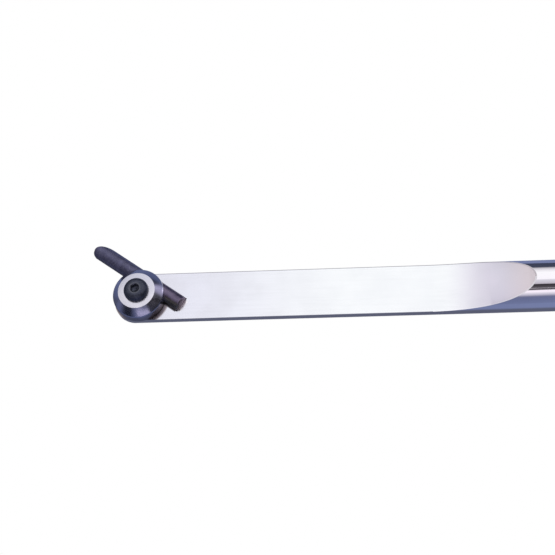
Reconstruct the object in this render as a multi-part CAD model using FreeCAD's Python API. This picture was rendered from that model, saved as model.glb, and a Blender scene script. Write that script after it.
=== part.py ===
import FreeCAD, Part
import math
import os

# Hollowing tool: a round steel bar with a milled seat, a clamp cap that holds a round cutter in a
# half-round groove across the seat, and a turned handle. Millimetres.
# The origin is the centre of the seat, where the clamp screw's axis crosses it. +Z is square to the
# seat, and +X runs along the bar towards the handle.

# Steel bar
bar_diameter = 19.05
seat_above_axis = 1.0
seat_length = 108.9
run_out_radius = 106.0
bar_end_reach = 9.8
bar_end_rounding = 7.7
bar_end_plan_radius = 10.4
bar_exposed_length = 245.0
bar_depth_in_handle = 20.0
tang_diameter = 15.9
tang_length = 75.0
tang_chamfer = 1.0

# Clamp screw, a button-head screw with a hexagon socket
screw_diameter = 5.0
screw_length = 16.0
screw_end_chamfer = 0.6
screw_clearance = 0.05
head_diameter = 9.5
head_height = 2.75
head_rim_height = 0.45
head_top_diameter = 4.6
head_dome_bulge = 0.75
socket_across_flats = 3.0
socket_depth = 1.6

# Round cutter
cutter_diameter = 6.35
cutter_reach = 26.5
cutter_tail = 15.6
cutter_angle = 34.9
tail_chamfer = 0.45
tail_gap = 0.25
nose_heel_radius = 0.9
nose_sweep_length = 7.6
nose_sweep_width = 4.4
nose_clearance_angle = 14.0
nose_outline_margin = 0.1

# Clamp cap
cap_base_diameter = 20.2
cap_rim_diameter = 19.8
cap_rim_height = 3.65
cap_ring_diameter = 14.3
cap_height = 6.6
cap_edge_chamfer = 0.25
groove_clearance = 0.03
groove_web = 0.56

# Ferrule
ferrule_diameter = 32.0
ferrule_wall = 2.0
ferrule_length = 30.0
ferrule_edge_chamfer = 1.0
ferrule_clearance = 0.05

# Handle
handle_length = 432.0
bore_clearance = 0.05
bore_end_gap = 2.0
bead_width = 10.0
bead_height = 1.6
neck_length = 66.0
neck_diameter = 31.0
swell_length = 186.0
swell_diameter = 37.6
waist_length = 292.0
waist_diameter = 35.0
butt_length = 362.0
butt_diameter = 40.0
butt_end_length = 16.0
butt_end_diameter = 33.0
butt_flat_diameter = 9.0
butt_end_bulge = 3.6

# Sizes that follow from the ones above
bar_radius = bar_diameter / 2.0
axis_height = -seat_above_axis
bar_top = axis_height + bar_radius
cutter_radius = cutter_diameter / 2.0
groove_radius = cutter_radius + groove_clearance
screw_hole_radius = screw_diameter / 2.0 + screw_clearance
cutter_offset = screw_hole_radius + groove_web + groove_radius
handle_start = bar_exposed_length
spigot_radius = ferrule_diameter / 2.0 - ferrule_wall - ferrule_clearance

X_AXIS = FreeCAD.Vector(1, 0, 0)
Y_AXIS = FreeCAD.Vector(0, 1, 0)
Z_AXIS = FreeCAD.Vector(0, 0, 1)


def point(x, y, z):
    return FreeCAD.Vector(x, y, z)


def rod_along_x(radius, start, end):
    """A round bar on the tool's axis, from one place along it to another."""
    return Part.makeCylinder(radius, end - start, point(start, 0, axis_height), X_AXIS)


def upright_rod(radius, bottom, top):
    """A round bar on the screw's axis."""
    return Part.makeCylinder(radius, top - bottom, point(0, 0, bottom), Z_AXIS)


def closed_face(edges):
    return Part.Face(Part.Wire(edges))


def polygon_face(points):
    return Part.Face(Part.makePolygon(points + points[:1]))


def bowed_arc(start, end, bulge):
    """An arc in the plane of X and Z whose middle stands out from the straight line by that much."""
    chord = end - start
    outward = FreeCAD.Vector(-chord.z, 0, chord.x).normalize()
    if outward.z < 0:
        outward = -outward
    return Part.Arc(start, (start + end) / 2.0 + outward * bulge, end).toShape()


def chamfer_edges(solid, size, wanted):
    """Chamfers the edges for which wanted(edge) is true."""
    return solid.makeChamfer(size, [edge for edge in solid.Edges if wanted(edge)])


def is_circle_at(edge, radius, axis, height):
    """True for a full circle of that radius whose centre lies at that height along the axis."""
    curve = edge.Curve
    if not isinstance(curve, Part.Circle):
        return False
    return abs(curve.Radius - radius) < 1e-4 and abs(curve.Center.dot(axis) - height) < 1e-4


def place_at_cutter(solid):
    """Turns a solid made along X, beside the screw, into the cutter's direction."""
    return solid.rotated(point(0, 0, 0), Z_AXIS, -cutter_angle)


def milled_space():
    """What the milling takes off the bar: the flat seat, then an arc up to the full round bar."""
    margin = bar_radius
    top = bar_top + margin
    arc_rise = bar_top + 0.5 * margin
    arc_run = math.sqrt(run_out_radius ** 2 - (run_out_radius - arc_rise) ** 2)
    half_run = arc_run / 2.0
    half_rise = run_out_radius - math.sqrt(run_out_radius ** 2 - half_run ** 2)
    front = -bar_end_reach - margin
    seat_front = point(front, -margin * 2, 0)
    seat_back = point(seat_length, -margin * 2, 0)
    arc_middle = point(seat_length + half_run, -margin * 2, half_rise)
    arc_end = point(seat_length + arc_run, -margin * 2, arc_rise)
    top_back = point(seat_length + arc_run, -margin * 2, top)
    top_front = point(front, -margin * 2, top)
    edges = [
        Part.makeLine(seat_front, seat_back),
        Part.Arc(seat_back, arc_middle, arc_end).toShape(),
        Part.makeLine(arc_end, top_back),
        Part.makeLine(top_back, top_front),
        Part.makeLine(top_front, seat_front),
    ]
    return closed_face(edges).extrude(Y_AXIS * margin * 4)


def cutter_groove(end):
    """A round channel beside the screw's hole, from well beyond the nose to one place on the tail side."""
    start = -2 * cutter_reach
    channel = Part.makeCylinder(groove_radius, end - start, point(start, cutter_offset, 0), X_AXIS)
    return place_at_cutter(channel)


def round_in_plan(length):
    """A block round the bar whose end is round in plan, a little larger than the cap above it."""
    bottom = axis_height - bar_radius
    behind = Part.makeBox(length, 2 * bar_end_plan_radius, bar_diameter, point(0, -bar_end_plan_radius, bottom))
    return upright_rod(bar_end_plan_radius, bottom, bar_top).fuse(behind)


def make_shaft():
    """The bar: rounded end, milled seat and run-out, the cutter's groove, screw hole, shoulder and tang."""
    shoulder = bar_exposed_length + bar_depth_in_handle
    bar = rod_along_x(bar_radius, -bar_end_reach, shoulder)
    end = [edge for edge in bar.Edges if is_circle_at(edge, bar_radius, X_AXIS, -bar_end_reach)]
    bar = bar.makeFillet(bar_end_rounding, end)
    bar = bar.common(round_in_plan(shoulder))
    bar = bar.cut(milled_space())
    bar = bar.cut(cutter_groove(cutter_tail + tail_gap))
    bar = bar.cut(upright_rod(screw_hole_radius, axis_height - bar_radius - 1, 1))
    tang = rod_along_x(tang_diameter / 2.0, shoulder - 1, shoulder + tang_length)
    tang = chamfer_edges(
        tang,
        tang_chamfer,
        lambda edge: is_circle_at(edge, tang_diameter / 2.0, X_AXIS, shoulder + tang_length),
    )
    return bar.fuse(tang).removeSplitter()


def make_clamp_screw():
    """A domed head on a plain shank, with a hexagon socket in the head."""
    shank_radius = screw_diameter / 2.0
    head_radius = head_diameter / 2.0
    end = cap_height - screw_length
    top = cap_height + head_height
    rim_top = cap_height + head_rim_height
    flat_radius = head_top_diameter / 2.0
    edges = [
        Part.makeLine(point(0, 0, end), point(shank_radius - screw_end_chamfer, 0, end)),
        Part.makeLine(
            point(shank_radius - screw_end_chamfer, 0, end),
            point(shank_radius, 0, end + screw_end_chamfer),
        ),
        Part.makeLine(point(shank_radius, 0, end + screw_end_chamfer), point(shank_radius, 0, cap_height)),
        Part.makeLine(point(shank_radius, 0, cap_height), point(head_radius, 0, cap_height)),
        Part.makeLine(point(head_radius, 0, cap_height), point(head_radius, 0, rim_top)),
        bowed_arc(point(head_radius, 0, rim_top), point(flat_radius, 0, top), head_dome_bulge),
        Part.makeLine(point(flat_radius, 0, top), point(0, 0, top)),
        Part.makeLine(point(0, 0, top), point(0, 0, end)),
    ]
    screw = closed_face(edges).revolve(point(0, 0, 0), Z_AXIS, 360)
    return screw.cut(hexagon_socket(top))


def hexagon_socket(top):
    """The socket's space, from its floor to just above the head."""
    corner_radius = socket_across_flats / math.sqrt(3.0)
    corners = []
    for index in range(6):
        angle = math.radians(60.0 * index)
        corners.append(point(corner_radius * math.cos(angle), corner_radius * math.sin(angle), top - socket_depth))
    return polygon_face(corners).extrude(Z_AXIS * (socket_depth + 1))


def make_clamp_cap():
    """A short flared rim, a cone and a flat ring on top, with the screw hole and the cutter's groove."""
    base_radius = cap_base_diameter / 2.0
    rim_radius = cap_rim_diameter / 2.0
    ring_radius = cap_ring_diameter / 2.0
    profile = [
        point(0, 0, 0),
        point(base_radius - cap_edge_chamfer, 0, 0),
        point(base_radius, 0, cap_edge_chamfer),
        point(rim_radius, 0, cap_rim_height),
        point(ring_radius, 0, cap_height),
        point(0, 0, cap_height),
    ]
    cap = polygon_face(profile).revolve(point(0, 0, 0), Z_AXIS, 360)
    cap = cap.cut(upright_rod(screw_hole_radius, -1, cap_height + 1))
    return cap.cut(cutter_groove(2 * cutter_reach))


def nose_outline():
    """The cutter seen from above: a square heel, then a long sweep back along the far side."""
    near = -cutter_radius - nose_outline_margin
    outside = cutter_radius + nose_outline_margin
    tip = -cutter_reach
    back = cutter_tail + 1
    heel = nose_heel_radius
    diagonal = heel * (1 - math.sqrt(0.5))
    sweep_centre = outside - nose_sweep_width
    start_of_sweep = point(tip + nose_sweep_length, outside, 0)
    sweep = Part.Ellipse(
        point(tip, sweep_centre, 0),
        start_of_sweep,
        point(tip + nose_sweep_length, sweep_centre, 0),
    )
    edges = [
        Part.makeLine(point(back, near, 0), point(tip + heel, near, 0)),
        Part.Arc(
            point(tip + heel, near, 0),
            point(tip + diagonal, near + diagonal, 0),
            point(tip, near + heel, 0),
        ).toShape(),
        Part.makeLine(point(tip, near + heel, 0), point(tip, sweep_centre, 0)),
        quarter_of(sweep, point(tip, sweep_centre, 0), start_of_sweep),
        Part.makeLine(start_of_sweep, point(back, outside, 0)),
        Part.makeLine(point(back, outside, 0), point(back, near, 0)),
    ]
    return closed_face(edges)


def quarter_of(curve, start, end):
    """The shorter stretch of a closed curve between two points on it."""
    first = curve.parameter(start)
    last = curve.parameter(end)
    if (last - first) % (2 * math.pi) > math.pi:
        first, last = last, first
    if last < first:
        last += 2 * math.pi
    return curve.toShape(first, last)


def make_cutter():
    """A round bar whose nose is ground to a sweep, with clearance below the edge."""
    rod = Part.makeCylinder(cutter_radius, cutter_reach + cutter_tail, point(-cutter_reach, 0, 0), X_AXIS)
    rod = chamfer_edges(rod, tail_chamfer, lambda edge: is_circle_at(edge, cutter_radius, X_AXIS, cutter_tail))
    height = cutter_diameter + 1
    undercut = height * math.tan(math.radians(nose_clearance_angle))
    outline = nose_outline()
    outline.translate(Z_AXIS * cutter_radius)
    cutter = rod.common(outline.extrude(point(undercut, 0, -height)))
    cutter.translate(point(0, cutter_offset, 0))
    return place_at_cutter(cutter)


def make_ferrule():
    """A metal collar on the handle's front spigot, with a bevelled front edge."""
    outer = ferrule_diameter / 2.0
    end = handle_start + ferrule_length
    collar = rod_along_x(outer, handle_start, end)
    front = [edge for edge in collar.Edges if is_circle_at(edge, outer, X_AXIS, handle_start)]
    collar = collar.makeChamfer(ferrule_edge_chamfer, front)
    return collar.cut(rod_along_x(outer - ferrule_wall, handle_start - 1, end + 1))


def ease(start, end):
    """Two equal arcs that meet halfway and leave both ends level."""
    run = (end.x - start.x) / 2.0
    rise = (end.z - start.z) / 2.0
    radius = (run ** 2 + rise ** 2) / (2 * abs(rise))
    sag = math.copysign(radius - math.sqrt(radius ** 2 - (run / 2.0) ** 2), rise)
    middle = point(start.x + run, 0, start.z + rise)
    near_start = point(start.x + run / 2.0, 0, start.z + sag)
    near_end = point(end.x - run / 2.0, 0, end.z - sag)
    return [Part.Arc(start, near_start, middle).toShape(), Part.Arc(middle, near_end, end).toShape()]


def handle_profile():
    """Half of the handle's outline: spigot, bead, tapered neck, then swell, waist and the rounded butt."""
    bead_start = ferrule_length
    bead_end = bead_start + bead_width

    def at(along, diameter):
        return point(handle_start + along, 0, axis_height + diameter / 2.0)

    bead_foot = at(bead_start, ferrule_diameter)
    bead_back = at(bead_end, ferrule_diameter)
    neck = at(ferrule_length + neck_length, neck_diameter)
    swell = at(ferrule_length + swell_length, swell_diameter)
    waist = at(ferrule_length + waist_length, waist_diameter)
    butt = at(ferrule_length + butt_length, butt_diameter)
    butt_edge = at(handle_length - butt_end_length, butt_end_diameter)
    butt_flat = at(handle_length, butt_flat_diameter)
    butt_drop = butt.z - butt_edge.z
    butt_run = butt_edge.x - butt.x
    butt_radius = (butt_run ** 2 + butt_drop ** 2) / (2 * butt_drop)
    half_drop = butt_radius - math.sqrt(butt_radius ** 2 - (butt_run / 2.0) ** 2)
    butt_shoulder = point(butt.x + butt_run / 2.0, 0, butt.z - half_drop)
    edges = [
        Part.makeLine(at(0, 0), at(0, 2 * spigot_radius)),
        Part.makeLine(at(0, 2 * spigot_radius), at(bead_start, 2 * spigot_radius)),
        Part.makeLine(at(bead_start, 2 * spigot_radius), bead_foot),
        bowed_arc(bead_foot, bead_back, bead_height),
        Part.makeLine(bead_back, neck),
    ]
    edges += ease(neck, swell) + ease(swell, waist) + ease(waist, butt)
    edges += [
        Part.Arc(butt, butt_shoulder, butt_edge).toShape(),
        bowed_arc(butt_edge, butt_flat, butt_end_bulge),
        Part.makeLine(butt_flat, at(handle_length, 0)),
        Part.makeLine(at(handle_length, 0), at(0, 0)),
    ]
    return closed_face(edges)


def make_handle():
    """The turned handle, bored for the bar and its tang."""
    handle = handle_profile().revolve(point(0, 0, axis_height), X_AXIS, 360)
    shoulder = handle_start + bar_depth_in_handle
    bar_hole = rod_along_x(bar_radius + bore_clearance, handle_start - 1, shoulder)
    tang_hole = rod_along_x(
        tang_diameter / 2.0 + bore_clearance,
        shoulder - 1,
        shoulder + tang_length + bore_end_gap,
    )
    return handle.cut(bar_hole).cut(tang_hole)


nodes = {
    "shaft": make_shaft(),
    "clamp_cap": make_clamp_cap(),
    "clamp_screw": make_clamp_screw(),
    "cutter": make_cutter(),
    "ferrule": make_ferrule(),
    "handle": make_handle(),
}

os.makedirs("parts", exist_ok=True)
for name, shape in nodes.items():
    shape.exportStep("parts/" + name + ".step")
    print(name, "solids", len(shape.Solids), "valid", shape.isValid(), "volume", round(shape.Volume, 1))
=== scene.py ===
import math

import bpy
from mathutils import Matrix, Vector


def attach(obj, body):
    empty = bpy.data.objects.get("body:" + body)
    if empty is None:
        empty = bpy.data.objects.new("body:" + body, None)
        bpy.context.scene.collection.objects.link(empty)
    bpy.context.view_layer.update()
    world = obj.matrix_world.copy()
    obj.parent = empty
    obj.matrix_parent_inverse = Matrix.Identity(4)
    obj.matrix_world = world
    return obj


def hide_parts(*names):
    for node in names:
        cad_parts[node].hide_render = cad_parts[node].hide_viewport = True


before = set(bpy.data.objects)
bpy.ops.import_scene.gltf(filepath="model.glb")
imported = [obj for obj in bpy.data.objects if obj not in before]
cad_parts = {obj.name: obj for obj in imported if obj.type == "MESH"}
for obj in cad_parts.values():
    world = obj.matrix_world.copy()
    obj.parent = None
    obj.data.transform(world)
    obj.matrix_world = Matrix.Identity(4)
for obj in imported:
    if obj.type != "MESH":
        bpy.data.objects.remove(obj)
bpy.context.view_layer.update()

# Millimetres below, as in the tool's own drawing. The origin is the centre of the milled seat, on
# the clamp screw's axis. +Z is square to the seat, and +X runs along the bar to the handle.
MM = 0.001

BAR_RADIUS = 9.525
BAR_AXIS = -1.0
BAR_END = -9.8
BAR_END_ROUNDING = 7.7
BAR_END_PLAN_RADIUS = 10.4
BAR_SHOULDER = 265.0
TANG_RADIUS = 7.95
TANG_END = 340.0
TANG_CHAMFER = 1.0
SEAT_LENGTH = 108.9
RUN_OUT_RADIUS = 106.0

CUTTER_RADIUS = 3.175
CUTTER_OFFSET = 6.315
CUTTER_ANGLE = 34.9
CUTTER_REACH = 26.49
CUTTER_TAIL = 15.6
TAIL_CHAMFER = 0.45
TAIL_GAP = 0.12
GROOVE_RADIUS = 3.205
NOSE_SWEEP_LENGTH = 7.6
NOSE_SWEEP_WIDTH = 4.4
NOSE_HEEL = 0.9
NOSE_CLEARANCE_ANGLE = 14.0
NOSE_MARGIN = 0.1

HOLE_RADIUS = 2.55
CAP_BASE_RADIUS = 10.1
CAP_BASE_CHAMFER = 0.25
CAP_RIM_RADIUS = 9.9
CAP_RIM_HEIGHT = 3.65
CAP_RIM_BULGE = 0.06
CAP_RING_RADIUS = 7.15
CAP_HEIGHT = 6.6
CAP_HOLE_CHAMFER = 0.2

HEAD_RADIUS = 4.75
HEAD_HEIGHT = 2.75
HEAD_RIM_HEIGHT = 0.45
HEAD_RIM_CHAMFER = 0.12
HEAD_TOP_RADIUS = 2.3
HEAD_DOME_BULGE = 0.75
HEAD_FLAT_RADIUS = 1.95
SOCKET_ACROSS_FLATS = 3.0
SOCKET_DEPTH = 1.6
SCREW_LENGTH = 16.0
THREAD_PITCH = 0.8
THREAD_OUTER = 2.48
THREAD_CORE = 2.0
THREAD_START = 0.4
THREAD_STOP = 1.6
# The plain neck under the head, from where it has its full thickness to where the thread's core
# begins, both below the head.
SCREW_NECK = (0.9, 1.2)
SCREW_POINT = 0.5
SCREW_POINT_TAPER = 0.45

HANDLE_START = 245.0
FERRULE_RADIUS = 16.0
FERRULE_BORE = 14.0
FERRULE_LENGTH = 30.0
FERRULE_FRONT_ROUNDING = 1.4
FERRULE_BACK_ROUNDING = 0.4
FERRULE_LINE_INSET = 4.5
# Half of a turned line's shape on the ferrule: how far from its middle, and how deep.
FERRULE_LINE = ((0.7, 0.0), (0.35, 0.35), (0.0, 0.45))
SPIGOT_RADIUS = 13.95
BEAD_WIDTH = 10.0
BEAD_HEIGHT = 1.6
BEAD_FULLNESS = 0.8
# Places along the handle from its front, each with the radius there.
NECK = (96, 15.5)
SWELL = (216, 18.8)
WAIST = (322, 17.5)
BUTT = (392, 19.99)
BUTT_EDGE = (416, 16.5)
BUTT_END = (431.99, 4.5)
BUTT_END_BULGE = 3.6
BUTT_CENTRE_RADIUS = 1.0
# Places of the burnt lines along the handle.
BURNT_LINES = (FERRULE_LENGTH + BEAD_WIDTH + 3.2, BUTT[0] - 10, BUTT[0] - 4)
# Half of a burnt line's shape: how far from its middle, and how deep.
BURNT_LINE = ((0.7, 0.0), (0.245, 0.4125), (0.0, 0.55))
BURNT_LINE_MARGIN = 1.0
BAR_BORE = 9.575
TANG_BORE = 8.0
TANG_BORE_GAP = 2.0

FLOOR_HEIGHT = -21.3

# Doubled points nearer than this are merged, first after turning and then after carving.
TURNED_GAP = 0.002
CARVED_GAP = 0.0005


# Modelling steps

def clear_selection():
    if bpy.context.object and bpy.context.object.mode != "OBJECT":
        bpy.ops.object.mode_set(mode="OBJECT")
    bpy.ops.object.select_all(action="DESELECT")


def work_on(piece):
    clear_selection()
    bpy.context.view_layer.objects.active = piece
    piece.select_set(True)


def settle(piece):
    """Puts the piece's place, turn and size into its mesh."""
    work_on(piece)
    bpy.ops.object.transform_apply(location=True, rotation=True, scale=True)
    return piece


def select_all_points():
    bpy.ops.mesh.select_all(action="SELECT")


def close_up(piece, gap=CARVED_GAP):
    """Merges doubled points and turns all faces outwards."""
    work_on(piece)
    bpy.ops.object.mode_set(mode="EDIT")
    select_all_points()
    bpy.ops.mesh.remove_doubles(threshold=gap * MM)
    bpy.ops.mesh.normals_make_consistent(inside=False)
    bpy.ops.object.mode_set(mode="OBJECT")
    return piece


def turned(name, stations, steps, along="X", centre=(0, 0, 0), hollow=False):
    """Turns a piece on the lathe from its stations, each a place along the axis and a radius.
    A hollow piece's stations go once round its wall and end where they began."""
    direction = Vector((1, 0, 0)) if along == "X" else Vector((0, 0, 1))
    turn = (0, math.pi / 2, 0) if along == "X" else (0, 0, 0)
    middle = Vector(centre)
    clear_selection()
    place, radius = stations[0]
    bpy.ops.mesh.primitive_circle_add(
        vertices=steps,
        radius=radius * MM,
        fill_type="NOTHING" if hollow else "NGON",
        location=(middle + direction * place) * MM,
        rotation=turn,
    )
    piece = settle(bpy.context.object)
    piece.name = name
    bpy.ops.object.mode_set(mode="EDIT")
    select_all_points()
    for next_place, next_radius in stations[1:]:
        step = direction * (next_place - place) * MM
        if hollow:
            bpy.ops.mesh.extrude_edges_move(TRANSFORM_OT_translate={"value": step})
        else:
            bpy.ops.mesh.extrude_region_move(TRANSFORM_OT_translate={"value": step})
        grow = next_radius / radius
        bpy.ops.transform.resize(
            value=(grow, grow, grow),
            center_override=(middle + direction * next_place) * MM,
        )
        place, radius = next_place, next_radius
    bpy.ops.object.mode_set(mode="OBJECT")
    return close_up(piece, TURNED_GAP)


def cylinder(radius, start, end, along="X", centre=(0, 0, 0), steps=192):
    return turned("tool_space", [(start, radius), (end, radius)], steps, along, centre)


def carve(piece, space, way="DIFFERENCE"):
    """Cuts a space out of a piece, or keeps only what lies in it, or joins it on."""
    work_on(piece)
    cut = piece.modifiers.new("carve", "BOOLEAN")
    cut.operation = way
    cut.solver = "EXACT"
    cut.object = space
    bpy.ops.object.modifier_apply(modifier=cut.name)
    bpy.data.objects.remove(space)
    return piece


def soften(piece, width, segments, angle):
    """Breaks the edges that are sharper than the angle."""
    work_on(piece)
    bevel = piece.modifiers.new("soften", "BEVEL")
    bevel.width = width * MM
    bevel.segments = segments
    bevel.limit_method = "ANGLE"
    bevel.angle_limit = math.radians(angle)
    bpy.ops.object.modifier_apply(modifier=bevel.name)
    return piece


def smooth(piece, angle=18.0):
    work_on(piece)
    bpy.ops.object.shade_smooth_by_angle(angle=math.radians(angle))
    return piece


def along_cutter(piece):
    """Turns what was made along X, beside the screw, into the cutter's direction."""
    piece.rotation_euler = (0, 0, -math.radians(CUTTER_ANGLE))
    return settle(piece)


def extrude_edges(step):
    bpy.ops.mesh.extrude_edges_move(TRANSFORM_OT_translate={"value": Vector(step) * MM})


def extrude_faces(step):
    bpy.ops.mesh.extrude_region_move(TRANSFORM_OT_translate={"value": Vector(step) * MM})


def cut_off(place, facing, drop_front):
    """Cuts the mesh along a plane, and drops what lies in front of it or else behind it."""
    select_all_points()
    bpy.ops.mesh.bisect(
        plane_co=Vector(place) * MM,
        plane_no=facing,
        clear_outer=drop_front,
        clear_inner=not drop_front,
        threshold=1e-7,
    )


def merge_faces():
    select_all_points()
    bpy.ops.mesh.dissolve_faces()
    select_all_points()


def select_where(piece, test, mode):
    """Selects the points, edges or faces whose middle passes the test. Edit mode follows."""
    work_on(piece)
    bpy.ops.object.mode_set(mode="EDIT")
    bpy.ops.mesh.select_mode(type=mode)
    bpy.ops.mesh.select_all(action="DESELECT")
    bpy.ops.object.mode_set(mode="OBJECT")
    mesh = piece.data
    parts = {"VERT": mesh.vertices, "EDGE": mesh.edges, "FACE": mesh.polygons}[mode]
    for part in parts:
        if mode == "VERT":
            middle = part.co
        else:
            corners = [mesh.vertices[index].co for index in part.vertices]
            middle = sum(corners, Vector()) / len(corners)
        part.select = test(middle / MM)
    bpy.ops.object.mode_set(mode="EDIT")


# Stations for the lathe

def arc(centre, radius, start, end, count):
    """Stations on a rounded corner, from one angle to another. Angle 0 points along the axis."""
    spots = []
    for index in range(count + 1):
        angle = math.radians(start + (end - start) * index / count)
        spots.append((centre[0] + radius * math.cos(angle), centre[1] + radius * math.sin(angle)))
    return spots


def bowed(start, end, bulge, count):
    """Stations on an arc from one station to another, whose middle stands out by the bulge."""
    start, end = Vector(start), Vector(end)
    chord = end - start
    half = chord.length / 2
    radius = (half ** 2 + bulge ** 2) / (2 * bulge)
    along = chord.normalized()
    outward = Vector((-along.y, along.x))
    if outward.y < 0:
        outward = -outward
    half_angle = math.asin(half / radius)
    spots = []
    for index in range(1, count + 1):
        angle = half_angle * (2 * index / count - 1)
        rise = radius * (math.cos(angle) - 1) + bulge
        spot = (start + end) / 2 + along * radius * math.sin(angle) + outward * rise
        spots.append(tuple(spot))
    return spots


def ease(start, end, count=14):
    """Stations on two equal arcs that meet halfway and leave both ends level."""
    run = (end[0] - start[0]) / 2
    rise = (end[1] - start[1]) / 2
    radius = (run ** 2 + rise ** 2) / (2 * abs(rise))
    spots = []
    for index in range(1, 2 * count + 1):
        along = run * index / count
        reach = along if index <= count else 2 * run - along
        sag = math.copysign(radius - math.sqrt(radius ** 2 - reach ** 2), rise)
        spots.append((start[0] + along, start[1] + sag if index <= count else end[1] - sag))
    return spots


def turned_line(place, radius_at, half_shape):
    """Stations of a small groove, from half of its shape. radius_at gives the plain radius."""
    spots = []
    for offset, depth in half_shape:
        plain = radius_at(place - offset) if depth == 0 else radius_at(place)
        spots.append((place - offset, plain - depth))
    for offset, depth in reversed(half_shape[:-1]):
        plain = radius_at(place + offset) if depth == 0 else radius_at(place)
        spots.append((place + offset, plain - depth))
    return spots


# The bar

def end_space():
    """A tall block whose end is round in plan, for the bar's end."""
    half_height = 15
    block = cylinder(BAR_END_PLAN_RADIUS, -half_height, half_height, "Z")
    select_where(block, lambda spot: spot.x > 0.01, "VERT")
    bpy.ops.transform.translate(value=(400 * MM, 0, 0))
    bpy.ops.object.mode_set(mode="OBJECT")
    return close_up(block, TURNED_GAP)


def milled_space():
    """What the milling takes off: everything above the seat, and the sweep of the run-out."""
    half_width = 15
    above_bar = 25
    past_bar_end = 30
    clear_selection()
    bpy.ops.mesh.primitive_circle_add(
        vertices=1440,
        radius=RUN_OUT_RADIUS * MM,
        fill_type="NGON",
        location=(SEAT_LENGTH * MM, -half_width * MM, RUN_OUT_RADIUS * MM),
        rotation=(math.pi / 2, 0, 0),
    )
    space = settle(bpy.context.object)
    space.name = "tool_space"
    bpy.ops.object.mode_set(mode="EDIT")
    cut_off((SEAT_LENGTH, 0, 0), (1, 0, 0), drop_front=False)
    cut_off((0, 0, above_bar), (0, 0, 1), drop_front=True)
    select_where(space, lambda spot: abs(spot.x - SEAT_LENGTH) < 1e-3, "EDGE")
    extrude_edges((-SEAT_LENGTH - past_bar_end, 0, 0))
    merge_faces()
    extrude_faces((0, 2 * half_width, 0))
    bpy.ops.object.mode_set(mode="OBJECT")
    return close_up(space, TURNED_GAP)


def groove_space(end):
    beyond_nose = -60
    centre = (0, CUTTER_OFFSET, 0)
    return along_cutter(cylinder(GROOVE_RADIUS, beyond_nose, end, "X", centre, 160))


def make_bar():
    corner = (BAR_END + BAR_END_ROUNDING, BAR_RADIUS - BAR_END_ROUNDING)
    stations = arc(corner, BAR_END_ROUNDING, 180, 90, 28)
    stations += [
        (BAR_SHOULDER, BAR_RADIUS),
        (BAR_SHOULDER, TANG_RADIUS),
        (TANG_END - TANG_CHAMFER, TANG_RADIUS),
        (TANG_END, TANG_RADIUS - TANG_CHAMFER),
    ]
    bar = turned("steel_bar", stations, 256, "X", (0, 0, BAR_AXIS))
    carve(bar, end_space(), "INTERSECT")
    carve(bar, milled_space())
    carve(bar, groove_space(CUTTER_TAIL + TAIL_GAP))
    carve(bar, cylinder(HOLE_RADIUS, -20, 5, "Z", steps=96))
    close_up(bar)
    soften(bar, width=0.08, segments=2, angle=35)
    return smooth(bar)


# The clamp

def make_cap():
    rim = [
        (CAP_RIM_HEIGHT - 0.35, CAP_RIM_RADIUS + 0.02),
        (CAP_RIM_HEIGHT + 0.25, CAP_RIM_RADIUS - 0.235),
    ]
    stations = [
        (0, HOLE_RADIUS),
        (0, CAP_BASE_RADIUS - CAP_BASE_CHAMFER),
        (CAP_BASE_CHAMFER, CAP_BASE_RADIUS),
        rim[0],
    ]
    stations += bowed(rim[0], rim[1], CAP_RIM_BULGE, 6)
    stations += [
        (CAP_HEIGHT, CAP_RING_RADIUS),
        (CAP_HEIGHT, HOLE_RADIUS + CAP_HOLE_CHAMFER),
        (CAP_HEIGHT - CAP_HOLE_CHAMFER, HOLE_RADIUS),
        (0, HOLE_RADIUS),
    ]
    cap = turned("round_cap", stations, 256, "Z", hollow=True)
    carve(cap, groove_space(60))
    close_up(cap)
    soften(cap, width=0.14, segments=3, angle=25)
    return smooth(cap)


def thread_ridge(start, end):
    """One V-shaped ridge, wound round the shank by its pitch."""
    middle = ((THREAD_OUTER - 0.37) * MM, 0, start * MM)
    clear_selection()
    bpy.ops.mesh.primitive_circle_add(
        vertices=3,
        radius=THREAD_PITCH * 0.46 * MM,
        fill_type="NOTHING",
        location=middle,
        rotation=(math.pi / 2, 0, 0),
    )
    ridge = settle(bpy.context.object)
    ridge.name = "tool_space"
    bpy.ops.object.mode_set(mode="EDIT")
    select_all_points()
    bpy.ops.transform.rotate(value=math.pi / 2, orient_axis="Y", center_override=middle)
    bpy.ops.object.mode_set(mode="OBJECT")
    winding = ridge.modifiers.new("winding", "SCREW")
    winding.axis = "Z"
    winding.screw_offset = THREAD_PITCH * MM
    winding.iterations = int((end - start) / THREAD_PITCH)
    winding.steps = 48
    winding.render_steps = 48
    work_on(ridge)
    bpy.ops.object.modifier_apply(modifier=winding.name)
    bpy.ops.object.mode_set(mode="EDIT")
    bpy.ops.mesh.select_all(action="DESELECT")
    bpy.ops.mesh.select_mode(type="EDGE")
    bpy.ops.mesh.select_non_manifold()
    bpy.ops.mesh.fill()
    bpy.ops.object.mode_set(mode="OBJECT")
    return close_up(ridge)


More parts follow.
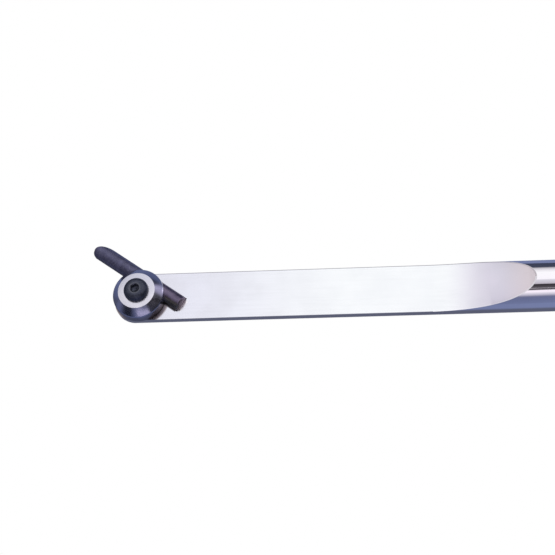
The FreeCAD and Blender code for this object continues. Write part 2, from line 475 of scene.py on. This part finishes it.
def make_screw():
    """A button head on a threaded shank, with a hexagon socket."""
    base = CAP_HEIGHT
    rim = base + HEAD_RIM_HEIGHT
    top = base + HEAD_HEIGHT
    end = base - SCREW_LENGTH
    stations = [
        (end, THREAD_CORE - SCREW_POINT_TAPER),
        (end + SCREW_POINT, THREAD_CORE),
        (base - SCREW_NECK[1], THREAD_CORE),
        (base - SCREW_NECK[0], THREAD_OUTER),
        (base, THREAD_OUTER),
        (base, HEAD_RADIUS - HEAD_RIM_CHAMFER),
        (base + HEAD_RIM_CHAMFER, HEAD_RADIUS),
        (rim, HEAD_RADIUS),
    ]
    stations += bowed((rim, HEAD_RADIUS), (top, HEAD_TOP_RADIUS), HEAD_DOME_BULGE, 18)
    stations.append((top, HEAD_FLAT_RADIUS))
    screw = turned("clamp_button_screw", stations, 192, "Z")
    floor = top - SOCKET_DEPTH
    carve(screw, cylinder(SOCKET_ACROSS_FLATS / math.sqrt(3), floor, top + 1, "Z", steps=6))
    half_socket = SOCKET_ACROSS_FLATS / 2
    lead_in = [(top - 0.45, half_socket - 0.05), (top + 0.2, half_socket + 0.6)]
    carve(screw, turned("tool_space", lead_in, 96, "Z"))
    drill_point = [(floor - 0.5, 0.15), (floor + 0.1, 1.42)]
    carve(screw, turned("tool_space", drill_point, 96, "Z"))
    carve(screw, thread_ridge(end + THREAD_START, base - THREAD_STOP), "UNION")
    close_up(screw)
    return smooth(screw, 25)


# The cutter

def nose_space():
    """What the grinding leaves at the nose: a square heel, a long sweep, and clearance below."""
    height = 2 * CUTTER_RADIUS + 1
    tip = -CUTTER_REACH
    near = CUTTER_OFFSET - CUTTER_RADIUS - NOSE_MARGIN
    far = CUTTER_OFFSET + CUTTER_RADIUS + NOSE_MARGIN
    sweep_x = tip + NOSE_SWEEP_LENGTH
    sweep_y = far - NOSE_SWEEP_WIDTH
    clear_selection()
    bpy.ops.mesh.primitive_circle_add(
        vertices=256,
        radius=MM,
        fill_type="NGON",
        location=(sweep_x * MM, sweep_y * MM, CUTTER_RADIUS * MM),
    )
    space = bpy.context.object
    space.name = "tool_space"
    space.scale = (NOSE_SWEEP_LENGTH, NOSE_SWEEP_WIDTH, 1)
    settle(space)
    bpy.ops.object.mode_set(mode="EDIT")
    cut_off((sweep_x, 0, 0), (1, 0, 0), drop_front=True)
    cut_off((0, sweep_y, 0), (0, 1, 0), drop_front=False)
    select_where(space, lambda spot: abs(spot.y - sweep_y) < 1e-3, "EDGE")
    extrude_edges((0, near - sweep_y, 0))
    select_where(space, lambda spot: abs(spot.x - sweep_x) < 1e-3, "EDGE")
    extrude_edges((CUTTER_TAIL + 1 - sweep_x, 0, 0))
    merge_faces()
    heel = Vector((tip, near, CUTTER_RADIUS))
    select_where(space, lambda spot: (spot - heel).length < 0.05, "VERT")
    bpy.ops.mesh.bevel(offset=NOSE_HEEL * MM, segments=12, affect="VERTICES")
    select_all_points()
    extrude_faces((height * math.tan(math.radians(NOSE_CLEARANCE_ANGLE)), 0, -height))
    bpy.ops.object.mode_set(mode="OBJECT")
    return close_up(space, TURNED_GAP)


def make_cutter():
    stations = [
        (-CUTTER_REACH, CUTTER_RADIUS),
        (CUTTER_TAIL - TAIL_CHAMFER, CUTTER_RADIUS),
        (CUTTER_TAIL, CUTTER_RADIUS - TAIL_CHAMFER),
    ]
    cutter = turned("round_cutter", stations, 192, "X", (0, CUTTER_OFFSET, 0))
    carve(cutter, nose_space(), "INTERSECT")
    close_up(cutter)
    soften(cutter, width=0.05, segments=2, angle=30)
    smooth(cutter)
    return along_cutter(cutter)


# The handle

def burnt_line(stations, place):
    """Adds a small V groove to the stations of the handle."""
    before = [spot for spot in stations if spot[0] < place - BURNT_LINE_MARGIN]
    after = [spot for spot in stations if spot[0] > place + BURNT_LINE_MARGIN]
    left, right = before[-1], after[0]

    def radius_at(along):
        share = (along - left[0]) / (right[0] - left[0])
        return left[1] + share * (right[1] - left[1])

    return before + turned_line(place, radius_at, BURNT_LINE) + after


def make_handle():
    start = HANDLE_START
    neck, swell, waist, butt, edge, end = (
        (start + place, radius)
        for place, radius in (NECK, SWELL, WAIST, BUTT, BUTT_EDGE, BUTT_END)
    )
    bead = start + FERRULE_LENGTH
    bead_end = bead + BEAD_WIDTH
    stations = [(start, SPIGOT_RADIUS), (bead, SPIGOT_RADIUS), (bead, FERRULE_RADIUS)]
    for index in range(1, 17):
        share = index / 16
        rise = BEAD_HEIGHT * math.sin(math.pi * share) ** BEAD_FULLNESS
        stations.append((bead + BEAD_WIDTH * share, FERRULE_RADIUS + rise))
    for index in range(1, 9):
        share = index / 8
        radius = FERRULE_RADIUS + (neck[1] - FERRULE_RADIUS) * share
        stations.append((bead_end + (neck[0] - bead_end) * share, radius))
    stations += ease(neck, swell) + ease(swell, waist) + ease(waist, butt)
    drop, run = butt[1] - edge[1], edge[0] - butt[0]
    radius = (run ** 2 + drop ** 2) / (2 * drop)
    # The last third of this arc and the start of the end's are bridged straight, so that no
    # crease shows.
    for index in range(1, 9):
        along = run * index / 12
        stations.append((butt[0] + along, butt[1] - radius + math.sqrt(radius ** 2 - along ** 2)))
    stations += bowed(edge, end, BUTT_END_BULGE, 20)[4:]
    stations.append((end[0], BUTT_CENTRE_RADIUS))
    for place in BURNT_LINES:
        stations = burnt_line(stations, start + place)
    centre = (0, 0, BAR_AXIS)
    handle = turned("turned_handle", stations, 160, "X", centre)
    carve(handle, cylinder(BAR_BORE, start - 5, BAR_SHOULDER, "X", centre, 128))
    bore_end = TANG_END + TANG_BORE_GAP
    carve(handle, cylinder(TANG_BORE, BAR_SHOULDER - 1, bore_end, "X", centre, 128))
    close_up(handle)
    return smooth(handle, 30)


def make_ferrule():
    start = HANDLE_START
    end = start + FERRULE_LENGTH
    front, back = FERRULE_FRONT_ROUNDING, FERRULE_BACK_ROUNDING
    stations = [(start, FERRULE_BORE)]
    stations += arc((start + front, FERRULE_RADIUS - front), front, 180, 90, 10)
    for place in (start + FERRULE_LINE_INSET, end - FERRULE_LINE_INSET):
        stations += turned_line(place, lambda along: FERRULE_RADIUS, FERRULE_LINE)
    stations += arc((end - back, FERRULE_RADIUS - back), back, 90, 0, 5)
    stations += [(end, FERRULE_BORE), (start, FERRULE_BORE)]
    ferrule = turned("brass_ferrule", stations, 192, "X", (0, 0, BAR_AXIS), hollow=True)
    return smooth(ferrule, 30)


# Finishes

class Paint:
    """The nodes of one finish, or of the studio. Its place and the place's parts x, y and z are
    the object's coordinates in metres, or the direction that is mirrored in the studio."""

    def __init__(self, tree, source="Object"):
        tree.nodes.clear()
        self.tree = tree
        self.place = self.node("ShaderNodeTexCoord").outputs[source]
        self.x, self.y, self.z = self.node("ShaderNodeSeparateXYZ", {0: self.place}).outputs

    def node(self, kind, inputs=None, **settings):
        """Adds one node, and sets or links what goes into it."""
        made = self.tree.nodes.new(kind)
        for key, value in settings.items():
            setattr(made, key, value)
        for key, value in (inputs or {}).items():
            if isinstance(value, bpy.types.NodeSocket):
                self.tree.links.new(value, made.inputs[key])
            else:
                made.inputs[key].default_value = value
        return made

    def calc(self, operation, *values):
        inputs = dict(enumerate(values))
        return self.node("ShaderNodeMath", inputs, operation=operation).outputs[0]

    def product(self, first, *others):
        for other in others:
            first = self.calc("MULTIPLY", first, other)
        return first

    def total(self, first, *others):
        for other in others:
            first = self.calc("ADD", first, other)
        return first

    def distance(self, first, second):
        squares = self.product(first, first), self.product(second, second)
        return self.calc("SQRT", self.total(*squares))

    def ramp(self, value, low, high, to_low=0.0, to_high=1.0, soft=True):
        """A step: to_low up to the value low, to_high from the value high."""
        inputs = {
            "Value": value,
            "From Min": low,
            "From Max": high,
            "To Min": to_low,
            "To Max": to_high,
        }
        kind = "SMOOTHSTEP" if soft else "LINEAR"
        return self.node("ShaderNodeMapRange", inputs, interpolation_type=kind).outputs["Result"]

    def edge(self, value, low, high, to_low=0.0, to_high=1.0):
        """A soft step between two lengths in millimetres."""
        return self.ramp(value, low * MM, high * MM, to_low, to_high)

    def noise(self, scale, detail=3, stretch=None):
        place = self.place
        if stretch:
            place = self.node("ShaderNodeMapping", {"Vector": place, "Scale": stretch}).outputs[0]
        inputs = {"Vector": place, "Scale": scale, "Detail": detail}
        return self.node("ShaderNodeTexNoise", inputs).outputs["Fac"]

    def between(self, share, first, second):
        """A number between two others."""
        inputs = {0: share, 2: first, 3: second}
        return self.node("ShaderNodeMix", inputs, data_type="FLOAT").outputs[0]

    def blend(self, share, first, second, way="MIX"):
        """A colour between two others, each a socket or its red, green and blue."""
        inputs = {0: share, 6: with_alpha(first), 7: with_alpha(second)}
        made = self.node("ShaderNodeMix", inputs, data_type="RGBA", blend_type=way)
        return made.outputs[2]

    def bump(self, height, distance, strength):
        inputs = {"Height": height, "Distance": distance, "Strength": strength}
        return self.node("ShaderNodeBump", inputs).outputs[0]

    def cover(self, inputs):
        """The finish's shader, with what goes into it."""
        shader = self.node("ShaderNodeBsdfPrincipled", inputs)
        self.node("ShaderNodeOutputMaterial", {"Surface": shader.outputs["BSDF"]})

    def by_ray(self, plain, mirrored, seen):
        """One look for soft light, one for what metal mirrors, and one for the camera."""
        rays = self.node("ShaderNodeLightPath").outputs
        inputs = {0: rays["Is Glossy Ray"], 1: plain, 2: mirrored}
        first = self.node("ShaderNodeMixShader", inputs).outputs[0]
        inputs = {0: rays["Is Camera Ray"], 1: first, 2: seen}
        return self.node("ShaderNodeMixShader", inputs).outputs[0]


def with_alpha(colour):
    return colour + (1.0,) if isinstance(colour, tuple) else colour


def new_finish(name):
    finish = bpy.data.materials.new(name)
    finish.use_nodes = True
    return finish, Paint(finish.node_tree)


def cutter_place(paint):
    """Places along the cutter, up towards its nose, and across it, from its axis."""
    cosine, sine = 0.82, 0.572
    along = paint.calc("SUBTRACT", paint.product(paint.y, sine), paint.product(paint.x, cosine))
    across = paint.total(paint.product(paint.x, sine), paint.product(paint.y, cosine))
    return along, paint.calc("SUBTRACT", across, CUTTER_OFFSET * MM)


def bar_finish():
    """Bright steel: polished where it is round, fine-ground on the flat and the run-out."""
    finish, paint = new_finish("bright_bar_steel")
    x, y, z = paint.x, paint.y, paint.z
    from_axis = paint.distance(y, paint.calc("SUBTRACT", z, BAR_AXIS * MM))
    near_side = paint.calc("LESS_THAN", y, 0)
    far_side = paint.calc("GREATER_THAN", y, 0)
    grinding = paint.noise(1100, stretch=(0.03, 1, 1))
    turning = paint.noise(1600, stretch=(1, 0.05, 0.05))
    cloud = paint.ramp(paint.noise(70), 0.35, 0.65)

    # The flat is dull by the head, bright in the middle, and warmer up the run-out to its tip.
    dull = paint.blend(cloud, (0.66, 0.67, 0.735), (0.695, 0.71, 0.785))
    bright = paint.blend(cloud, (0.78, 0.81, 0.82), (0.81, 0.84, 0.845))
    swept = paint.blend(cloud, (0.78, 0.76, 0.86), (0.82, 0.79, 0.9))
    tip = (0.83, 0.755, 0.8)
    flat = paint.blend(paint.edge(x, 8, 85), dull, bright)
    flat = paint.blend(paint.edge(x, 114, 136), flat, swept)
    flat = paint.blend(paint.edge(x, 136, 149), flat, tip)

    # Inside its long edges there is a painted highlight line on the near side and a painted dark
    # edge reflection on the far side.
    pale, dark = (0.9, 0.91, 0.96), (0.14, 0.14, 0.17)
    painted_highlight_line = paint.product(paint.edge(from_axis, 9.18, 9.28), near_side, 0.6)
    flat = paint.blend(painted_highlight_line, flat, pale)
    painted_dark_line = paint.product(paint.edge(from_axis, 9.2, 9.32), far_side)
    painted_dark_line = paint.product(painted_dark_line, paint.edge(x, 128, 146, 0.85, 0.25))
    flat = paint.blend(painted_dark_line, flat, dark)

    # The flat has painted shade beside the cap, a painted dark reflection of the cutter along its
    # groove, and a painted pale reflection of the cutter's end past its tail.
    painted_shade_colour, painted_dark_reflection, painted_pale_reflection = (0.3, 0.262, 0.275), (0.06, 0.055, 0.065), (0.9, 0.87, 0.89)
    along, across = cutter_place(paint)
    before_cutter = paint.calc("LESS_THAN", across, 0)
    beside_cap = paint.edge(paint.distance(x, y), 11.35, 12.15, 1, 0)
    flat = paint.blend(paint.product(beside_cap, before_cutter), flat, painted_shade_colour)
    by_tail = paint.edge(along, -15.4, -14.9)
    beside_groove = paint.product(paint.edge(across, -3.9, -3.45), before_cutter, by_tail)
    flat = paint.blend(beside_groove, flat, painted_dark_reflection)
    in_line = paint.edge(paint.calc("ABSOLUTE", across), 1.6, 3.0, 1, 0)
    past_tail = paint.product(paint.edge(along, -17.1, -16.4), in_line)
    flat = paint.blend(past_tail, flat, painted_pale_reflection)

    # The round part, and a painted shade line where it meets the flat's near edge.
    below_seat = paint.edge(z, -0.03, -0.1)
    round_part = paint.calc("MAXIMUM", below_seat, paint.edge(from_axis, 9.44, 9.5))
    polished = paint.blend(cloud, (0.8, 0.79, 0.82), (0.84, 0.83, 0.86))
    steel = paint.blend(round_part, flat, polished)
    above = paint.calc("GREATER_THAN", z, -0.1 * MM)
    before_run_out = paint.calc("LESS_THAN", x, 112 * MM)
    corner = paint.product(paint.edge(from_axis, 9.32, 9.38), above, near_side, before_run_out)
    corner = paint.product(corner, paint.edge(x, 12, 36, 0.5, 0.85))
    flat_rough = paint.ramp(grinding, 0.3, 0.7, 0.2, 0.25)
    round_rough = paint.ramp(turning, 0.3, 0.7, 0.04, 0.08)
    paint.cover({
        "Base Color": paint.blend(corner, steel, (0.2, 0.21, 0.27)),
        "Metallic": 1.0,
        "Roughness": paint.between(round_part, flat_rough, round_rough),
        "Normal": paint.bump(grinding, 0.000002, 0.12),
    })
    return finish


def cap_finish():
    """Darkened turned steel, with the ring on top ground bright."""
    finish, paint = new_finish("darkened_cap_steel")
    x, y, z = paint.x, paint.y, paint.z
    ring = paint.edge(z, CAP_HEIGHT - 0.03, CAP_HEIGHT - 0.005)
    cloud = paint.noise(260, 4)
    mottle = paint.ramp(cloud, 0.3, 0.7)
    marks = paint.node(
        "ShaderNodeTexWave",
        {"Vector": paint.place, "Scale": 1500, "Distortion": 0.3},
        wave_type="RINGS",
        rings_direction="Z",
    ).outputs["Fac"]
    bright = paint.blend(mottle, (0.63, 0.625, 0.69), (0.695, 0.69, 0.75))
    # The ring is painted darker towards the far side, a painted shade.
    bright = paint.blend(paint.edge(y, -4, 6, 0, 0.8), bright, (0.52, 0.53, 0.62))
    dark = paint.blend(mottle, (0.34, 0.345, 0.41), (0.42, 0.42, 0.5))
    # A painted shade darkens the rim's foot on the +X side.
    foot_shade = paint.product(paint.edge(z, 0.3, 2.0, 1, 0), paint.edge(x, 2, 5))
    dark = paint.blend(foot_shade, dark, (0.125, 0.112, 0.125))
    # A painted glint: the rim is painted bright where the cutter comes out from under it.
    from_glint_spot = paint.calc("ABSOLUTE", paint.calc("SUBTRACT", y, 1.2 * MM))
    on_rim = paint.product(paint.edge(x, 9.35, 9.5), paint.edge(z, 3.4, 3.6))
    paler_patch = paint.product(paint.edge(from_glint_spot, 0.5, 1.9, 1, 0), on_rim)
    dark = paint.blend(paler_patch, dark, (0.95, 0.92, 0.98))
    dark_rough = paint.ramp(cloud, 0.3, 0.7, 0.16, 0.24)
    ring_rough = paint.ramp(marks, 0, 1, 0.24, 0.34)
    paint.cover({
        "Base Color": paint.blend(ring, dark, bright),
        "Metallic": 1.0,
        "Roughness": paint.between(ring, dark_rough, ring_rough),
        "Normal": paint.bump(marks, 0.000006, 0.25),
    })
    return finish


def screw_finish():
    """Black oxide, worn a little lighter round the socket."""
    finish, paint = new_finish("black_oxide_steel")
    from_axis = paint.distance(paint.x, paint.y)
    grain = paint.noise(1400, 4)
    round_socket = paint.product(
        paint.edge(from_axis, 1.45, 1.7), paint.edge(from_axis, 2.1, 2.5, 1, 0)
    )
    on_head = paint.edge(paint.z, CAP_HEIGHT + 2, CAP_HEIGHT + 2.4)
    paler_patch = paint.product(round_socket, on_head, 0.5)
    in_socket = paint.edge(from_axis, 1.3, 1.6, 1, 0)
    black = paint.blend(
        paint.ramp(grain, 0.3, 0.7), (0.036, 0.041, 0.062), (0.062, 0.068, 0.097)
    )
    black = paint.blend(in_socket, black, (0.064, 0.072, 0.1))
    paint.cover({
        "Base Color": paint.blend(paler_patch, black, (0.14, 0.145, 0.17)),
        "Metallic": 0.85,
        "Roughness": paint.ramp(grain, 0.3, 0.7, 0.36, 0.48),
        "Normal": paint.bump(grain, 0.00001, 0.35),
    })
    return finish


def cutter_finish():
    """Hardened tool steel with its dark scale, bluer towards the nose and browner at the tail."""
    finish, paint = new_finish("scaled_tool_steel")
    along, across = cutter_place(paint)
    cloud = paint.ramp(paint.noise(350, 5), 0.3, 0.7)
    speckle = paint.noise(1500)
    nose = paint.blend(cloud, (0.05, 0.049, 0.094), (0.076, 0.075, 0.142))
    tail = paint.blend(cloud, (0.095, 0.078, 0.128), (0.16, 0.133, 0.205))
    to_nose = paint.edge(along, -5, 4)
    colour = paint.blend(to_nose, tail, nose)
    # The tail's chamfer is paler, its near side is darkened by painted shade, and the foot of its
    # end is paler again, a painted light bounced from the flat.
    colour = paint.blend(paint.edge(along, -15.05, -15.2), colour, (0.22, 0.18, 0.225))
    near_side = paint.product(paint.edge(across, -0.7, -1.5), paint.edge(along, -8, -10))
    colour = paint.blend(near_side, colour, (0.1, 0.095, 0.092))
    end_foot_light = paint.product(paint.edge(paint.z, 0.8, 0.05), paint.edge(along, -15.3, -15.5))
    colour = paint.blend(end_foot_light, colour, (0.55, 0.46, 0.52))
    flecks = paint.ramp(speckle, 0.5, 0.75, 0, 0.3)
    paint.cover({
        "Base Color": paint.blend(flecks, colour, (0.18, 0.18, 0.25)),
        "Metallic": paint.ramp(to_nose, 0, 1, 0.94, 0.55),
        "Roughness": paint.ramp(cloud, 0, 1, 0.3, 0.42),
        "Normal": paint.bump(speckle, 0.00001, 0.3),
    })
    return finish


def brass_finish():
    finish, paint = new_finish("polished_brass")
    cloud = paint.ramp(paint.noise(90, 4), 0.35, 0.7)
    marks = paint.noise(1300, stretch=(1, 0.03, 0.03))
    paint.cover({
        "Base Color": paint.blend(cloud, (0.84, 0.62, 0.27), (0.72, 0.5, 0.2)),
        "Metallic": 1.0,
        "Roughness": paint.ramp(marks, 0.3, 0.7, 0.12, 0.26),
        "Normal": paint.bump(marks, 0.000005, 0.4),
    })
    return finish


def wood_finish():
    """Turned ash under lacquer: long grain, growth rings that run out along the handle, pores."""
    finish, paint = new_finish("lacquered_ash")
    warp = paint.noise(14, stretch=(0.12, 1, 1))
    fibre = paint.noise(900, 4, (0.025, 1, 1))
    pores = paint.ramp(paint.noise(1500, 2, (0.03, 1, 1)), 0.62, 0.72)

    # Growth rings, each slowly darker to the late wood and then at once pale again.
    rings_up, rings_deep, rings_along, rings_warped = 210, 70, 6.5, 3.2
    rings = paint.total(
        paint.product(paint.z, rings_up),
        paint.product(paint.y, rings_deep),
        paint.product(paint.x, rings_along),
        paint.product(warp, rings_warped),
    )
    ring = paint.calc("FRACT", rings)
    early = paint.ramp(ring, 0.97, 1.0, 1, 0)
    late = paint.product(paint.ramp(ring, 0.45, 0.97), early)
    wood = paint.blend(paint.ramp(fibre, 0.3, 0.7), (0.6, 0.4, 0.215), (0.72, 0.52, 0.31))
    wood = paint.blend(paint.product(late, 0.75), wood, (0.4, 0.235, 0.11))
    in_pores = paint.product(pores, paint.total(paint.product(early, 0.25), 0.2))
    wood = paint.blend(in_pores, wood, (0.22, 0.12, 0.055))

    burnt = 0.0
    for place in BURNT_LINES:
        from_line = paint.calc("SUBTRACT", paint.x, (HANDLE_START + place) * MM)
        mark = paint.edge(paint.calc("ABSOLUTE", from_line), 0.45, 0.95, 1, 0)
        burnt = paint.calc("MAXIMUM", burnt, mark)
    paint.cover({
        "Base Color": paint.blend(paint.product(burnt, 0.9), wood, (0.035, 0.02, 0.012)),
        "Coat Weight": 0.6,
        "Coat Roughness": 0.14,
        "Roughness": paint.ramp(fibre, 0.3, 0.7, 0.36, 0.5),
        "Normal": paint.bump(paint.calc("SUBTRACT", fibre, pores), 0.00002, 0.3),
    })
    return finish


# The studio. Each band is the tilt of the mirrored direction from upright, towards +Y and in
# degrees, and the light that comes from there.
STUDIO_BANDS = [
    (-100, (0.2, 0.24, 0.42)),
    (-76, (0.17, 0.2, 0.36)),
    (-60, (0.17, 0.19, 0.33)),
    (-56, (0.3, 0.3, 0.42)),
    (-51, (0.6, 0.58, 0.7)),
    (-43.5, (0.94, 0.89, 0.98)),
    (-39, (1.2, 1.1, 1.2)),
    (-34, (1.2, 1.1, 1.2)),
    (-31, (0.1, 0.088, 0.1)),
    (-27, (0.1, 0.088, 0.1)),
    (-15.8, (0.03, 0.024, 0.03)),
    (-12, (0.66, 0.61, 0.68)),
    (4, (0.85, 0.83, 0.9)),
    (9, (1.2, 1.17, 1.21)),
    (40, (1.2, 1.19, 1.2)),
    (53, (0.98, 0.96, 0.99)),
    (64, (0.64, 0.62, 0.66)),
    (70.5, (0.06, 0.07, 0.11)),
    (96, (0.05, 0.06, 0.11)),
    (120, (0.15, 0.18, 0.31)),
]
SIDE_LIGHT = (0.88, 0.46, 0.13)
SIDE_COLOUR = (0.83, 0.77, 1.0)
LEFT_COLOUR = (0.2, 0.21, 0.34)
SOFT_LIGHT = 0.85
WHITE = (1, 1, 1, 1)


def paint_bands(ramp, bands):
    """Places colours on a colour ramp that runs from -180 to 180 degrees of tilt."""
    stops = ramp.color_ramp.elements
    while len(stops) > 1:
        stops.remove(stops[-1])
    for index, (tilt, colour) in enumerate(bands):
        position = (tilt + 180.0) / 360.0
        stop = stops[0] if index == 0 else stops.new(position)
        stop.position = position
        stop.color = with_alpha(colour)


def make_world():
    """White behind the tool, and plain soft light on it. What metal mirrors is bands of soft
    light with dark between, dimmer towards both ends, and two lights at the sides."""
    world = bpy.data.worlds.new("studio")
    bpy.context.scene.world = world
    world.use_nodes = True
    paint = Paint(world.node_tree, "Generated")
    direction, side, depth, up = paint.place, paint.x, paint.y, paint.z
    tilt = paint.calc("ARCTAN2", depth, up)
    turn = paint.ramp(tilt, -math.pi, math.pi, soft=False)
    bands = paint.node("ShaderNodeValToRGB", {0: turn})
    paint_bands(bands, STUDIO_BANDS)

    right_end = paint.ramp(side, 0.42, 0.62, 1, 0.1)
    low_right = paint.calc("MAXIMUM", right_end, paint.ramp(depth, 0.42, 0.6))
    low = paint.product(paint.ramp(side, -0.56, -0.3, 0.1, 1), low_right)
    high_right = paint.calc("MAXIMUM", right_end, paint.ramp(depth, -0.3, -0.1))
    high = paint.product(paint.ramp(side, -0.43, -0.23, 0.68, 1), high_right)
    ends = paint.between(paint.ramp(up, 0.42, 0.6), low, high)
    lit = paint.blend(1.0, bands.outputs[0], ends, "MULTIPLY")

    inputs = {0: direction, 1: SIDE_LIGHT}
    toward = paint.node("ShaderNodeVectorMath", inputs, operation="DOT_PRODUCT").outputs["Value"]
    side_light = paint.blend(1.0, SIDE_COLOUR, paint.ramp(toward, 0.925, 1.0), "MULTIPLY")
    left_light = paint.blend(1.0, LEFT_COLOUR, paint.ramp(side, -0.82, -0.99), "MULTIPLY")
    lit = paint.blend(1.0, lit, side_light, "ADD")
    lit = paint.blend(1.0, lit, left_light, "ADD")

    def background(colour, strength):
        inputs = {"Color": colour, "Strength": strength}
        return paint.node("ShaderNodeBackground", inputs).outputs[0]

    surface = paint.by_ray(background(WHITE, SOFT_LIGHT), background(lit, 1), background(WHITE, 1))
    paint.node("ShaderNodeOutputWorld", {"Surface": surface})


def make_floor():
    """Pale paper, white to the camera. Metal mirrors it dark, and darkest under the tool, where a
    painted shadow stands for the tool's own.
    """
    clear_selection()
    bpy.ops.mesh.primitive_plane_add(size=6, location=(0.3, 0, FLOOR_HEIGHT * MM))
    floor = settle(bpy.context.object)
    floor.name = "floor"
    finish, paint = new_finish("pale_floor")
    # Painted shadow: what metal mirrors of the floor is darkest within 21 mm of the tool's line.
    beside = paint.edge(paint.calc("ABSOLUTE", paint.y), 21, 36)
    shade = paint.blend(beside, (0.12, 0.13, 0.19), (0.21, 0.25, 0.44))
    paper = paint.node("ShaderNodeBsdfDiffuse", {"Color": (0.82, 0.82, 0.82, 1)})
    mirrored = paint.node("ShaderNodeEmission", {"Color": shade, "Strength": 1.0})
    white = paint.node("ShaderNodeEmission", {"Color": WHITE, "Strength": 1.0})
    surface = paint.by_ray(paper.outputs[0], mirrored.outputs[0], white.outputs[0])
    paint.node("ShaderNodeOutputMaterial", {"Surface": surface})
    floor.data.materials.append(finish)


def hang_lamp(name, shape, size, energy, place, target):
    light = bpy.data.lights.new(name, "AREA")
    light.shape = shape
    light.size = size
    light.energy = energy
    lamp = bpy.data.objects.new(name, light)
    bpy.context.scene.collection.objects.link(lamp)
    lamp.location = place
    lamp.rotation_euler = (Vector(target) - lamp.location).to_track_quat("-Z", "Y").to_euler()
    lamp.visible_camera = False
    return lamp


def make_lamp():
    """A wide soft lamp above, which the metal doesn't mirror."""
    lamp = hang_lamp("soft_lamp", "DISK", 0.8, 4.0, (0.1, 0.35, 0.8), (0.25, 0, 0))
    lamp.visible_glossy = False


def make_panel():
    """A small lit panel low in front of the head, which only the metal mirrors."""
    target = Vector((0.002, -0.008, 0.005))
    place = target + Vector((0.19, -0.92, 0.36)) * 0.15
    panel = hang_lamp("front_panel", "RECTANGLE", 0.12, 0.0097, place, target)
    panel.data.size_y = 0.03
    panel.data.color = (1.0, 0.9, 1.08)
    panel.visible_diffuse = False


def make_camera():
    """Above the tool, tilted towards the reader, with the head at the left of the frame."""
    back = Vector((0.164107, -0.392114, 0.90516))
    up = Vector((0.031674, 0.919222, 0.392463))
    right = up.cross(back)
    eye = Vector((158.572, -245.737, 581.902)) * MM
    data = bpy.data.cameras.new("camera")
    data.sensor_fit = "HORIZONTAL"
    data.angle = math.radians(18.603)
    data.clip_start = 0.01
    camera = bpy.data.objects.new("camera", data)
    bpy.context.scene.collection.objects.link(camera)
    turn = Matrix((right, up, back)).transposed()
    camera.matrix_world = Matrix.Translation(eye) @ turn.to_4x4()
    bpy.context.scene.camera = camera


# Assembly

def fit(piece, finish, body, node):
    piece.data.materials.clear()
    piece.data.materials.append(finish)
    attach(piece, body)
    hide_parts(node)


make_camera()
fit(make_bar(), bar_finish(), "tool", "shaft")
fit(make_cap(), cap_finish(), "cap", "clamp_cap")
fit(make_screw(), screw_finish(), "screw", "clamp_screw")
fit(make_cutter(), cutter_finish(), "cutter_bar", "cutter")
fit(make_ferrule(), brass_finish(), "tool", "ferrule")
fit(make_handle(), wood_finish(), "tool", "handle")
make_world()
make_floor()
make_lamp()
make_panel()
bpy.context.scene.view_settings.view_transform = "Standard"
clear_selection()
